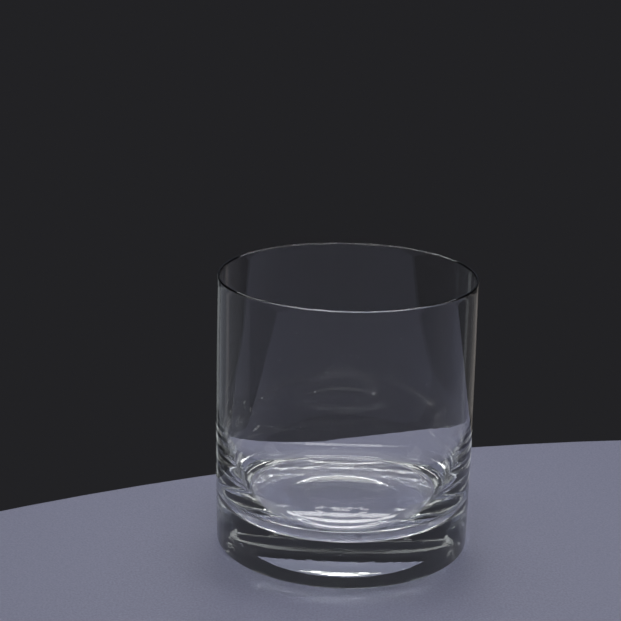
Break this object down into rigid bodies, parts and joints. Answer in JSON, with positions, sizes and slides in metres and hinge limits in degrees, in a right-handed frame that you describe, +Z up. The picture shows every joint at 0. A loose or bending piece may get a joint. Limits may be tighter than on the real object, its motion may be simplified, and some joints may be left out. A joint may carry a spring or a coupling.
{
  "type": "rocks glass",
  "caption": "Clear, nearly straight-sided tumbler with a thin rounded lip, a thin wall and a heavy solid base, for short drinks over ice.",
  "frame": {"origin": "centre of the foot, on the plane that the glass stands on", "axes": "+Z up along the axis of the glass, from the foot to the rim"},
  "size_m": [0.0866, 0.0866, 0.094],
  "materials": {
    "clear_glass": "fire-polished, clear"
  },
  "bodies": {
    "root": {"tumbler": "clear_glass"}
  },
  "joints": []
}
